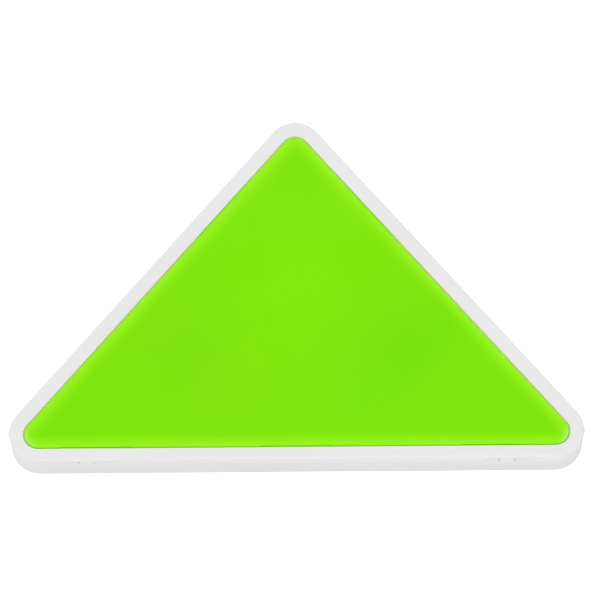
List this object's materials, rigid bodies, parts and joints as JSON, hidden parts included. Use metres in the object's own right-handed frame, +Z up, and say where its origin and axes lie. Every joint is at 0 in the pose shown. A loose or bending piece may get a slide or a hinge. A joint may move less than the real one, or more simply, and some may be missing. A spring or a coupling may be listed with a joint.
{
  "type": "triangular crayon case",
  "caption": "Flat triangular plastic case for short wax crayons: white hinged lid frame with a translucent lime-green panel over a white shell with a light grey tray.",
  "frame": {"origin": "bottom centre of the closed case, in the plane that it rests on", "axes": "+X along the long, hinged side; +Y from the long side to the apex; +Z up, out of the green panel"},
  "size_m": [0.2006, 0.1252, 0.018],
  "materials": {
    "shell_white": "satin moulded white plastic",
    "tray_grey": "matt moulded light grey plastic",
    "panel_green": "translucent lime-green plastic, softly glossy",
    "pin_steel": "bright drawn steel",
    "magnet_nickel": "nickel plated",
    "wax_red": "wax, softly shiny",
    "sleeve_red": "printed-colour paper sleeve, matt",
    "wax_orange": "wax, softly shiny",
    "sleeve_orange": "printed-colour paper sleeve, matt",
    "wax_yellow": "wax, softly shiny",
    "sleeve_yellow": "printed-colour paper sleeve, matt",
    "wax_blue": "wax, softly shiny",
    "sleeve_blue": "printed-colour paper sleeve, matt",
    "wax_green": "wax, softly shiny",
    "sleeve_green": "printed-colour paper sleeve, matt",
    "wax_violet": "wax, softly shiny",
    "sleeve_violet": "printed-colour paper sleeve, matt"
  },
  "bodies": {
    "base": {"base_shell": "shell_white", "crayon_tray": "tray_grey", "hinge_pin_left": "pin_steel", "hinge_pin_right": "pin_steel", "base_magnet": "magnet_nickel", "crayon_wax_1": "wax_red", "crayon_sleeve_1": "sleeve_red", "crayon_wax_2": "wax_orange", "crayon_sleeve_2": "sleeve_orange", "crayon_wax_3": "wax_yellow", "crayon_sleeve_3": "sleeve_yellow", "crayon_wax_4": "wax_blue", "crayon_sleeve_4": "sleeve_blue", "crayon_wax_5": "wax_green", "crayon_sleeve_5": "sleeve_green", "crayon_wax_6": "wax_violet", "crayon_sleeve_6": "sleeve_violet"},
    "lid": {"lid_frame": "shell_white", "lid_panel": "panel_green", "lid_magnet": "magnet_nickel"}
  },
  "joints": [
    {"name": "lid_hinge", "type": "hinge", "parent": "base", "child": "lid", "pos_m": [0, -0.06121, 0.0144], "axis": [1, 0, 0], "range_deg": [0, 110]}
  ]
}
